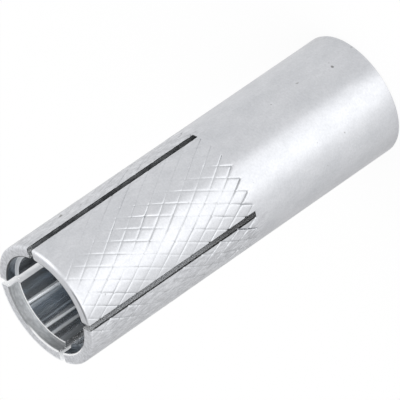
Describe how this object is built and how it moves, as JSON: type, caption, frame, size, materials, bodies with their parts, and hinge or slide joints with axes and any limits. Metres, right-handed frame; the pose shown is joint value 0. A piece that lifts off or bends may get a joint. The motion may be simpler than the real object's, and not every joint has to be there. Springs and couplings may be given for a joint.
{
  "type": "drop-in expansion anchor",
  "caption": "Split, diamond-knurled steel anchor sleeve with a stepped mouth, a threaded end and an expander plug inside.",
  "frame": {"origin": "centre of the threaded end face, on which the sleeve stands", "axes": "+Z along the sleeve's axis, from the threaded end to the split mouth; the two saw cuts lie 42.5 degrees to either side of X"},
  "size_m": [0.016, 0.016, 0.05],
  "materials": {
    "zinc_plated_steel": "bright zinc plate over turned, knurled and sawn steel",
    "plug_steel": "plain turned steel, lightly oiled"
  },
  "bodies": {
    "root": {"sleeve": "zinc_plated_steel", "expander_plug": "plug_steel"}
  },
  "joints": []
}
